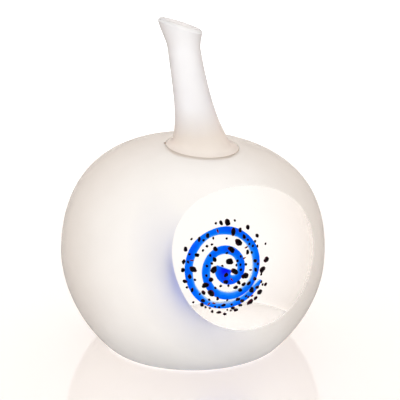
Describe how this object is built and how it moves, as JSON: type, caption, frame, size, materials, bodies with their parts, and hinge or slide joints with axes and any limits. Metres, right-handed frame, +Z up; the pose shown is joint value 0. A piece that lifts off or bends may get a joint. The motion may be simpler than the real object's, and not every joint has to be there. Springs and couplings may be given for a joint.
{
  "type": "glass apple",
  "caption": "Solid cased glass apple with a satin-etched skin, a polished round window onto a blue trail with dark frit, and a bonded leaning glass stem.",
  "frame": {"origin": "middle of the level ground base the apple stands on", "axes": "+Z up; -Y towards the viewer of the front, where the window faces turned 28 degrees to +X; the apple's own axis leans 3.9 degrees to +X"},
  "size_m": [0.112, 0.1119, 0.1409],
  "materials": {
    "etched_glass": "acid-etched satin outside, polished on the window",
    "clear_glass": "clear, fused inside the casing",
    "blue_glass": "strong blue colour glass",
    "dark_glass": "near-black violet colour glass",
    "red_glass": "red-brown colour glass",
    "etched_stem_glass": "acid-etched satin",
    "adhesive": "thin clear film with an amber bead in the gap round the stem's foot"
  },
  "bodies": {
    "root": {"outer_casing": "etched_glass", "second_gather": "clear_glass", "core_gather": "clear_glass", "blue_trail": "blue_glass", "coarse_frit": "dark_glass", "medium_frit": "dark_glass", "fine_frit": "dark_glass", "red_frit": "red_glass", "stem_bond": "adhesive", "stem": "etched_stem_glass"}
  },
  "joints": []
}
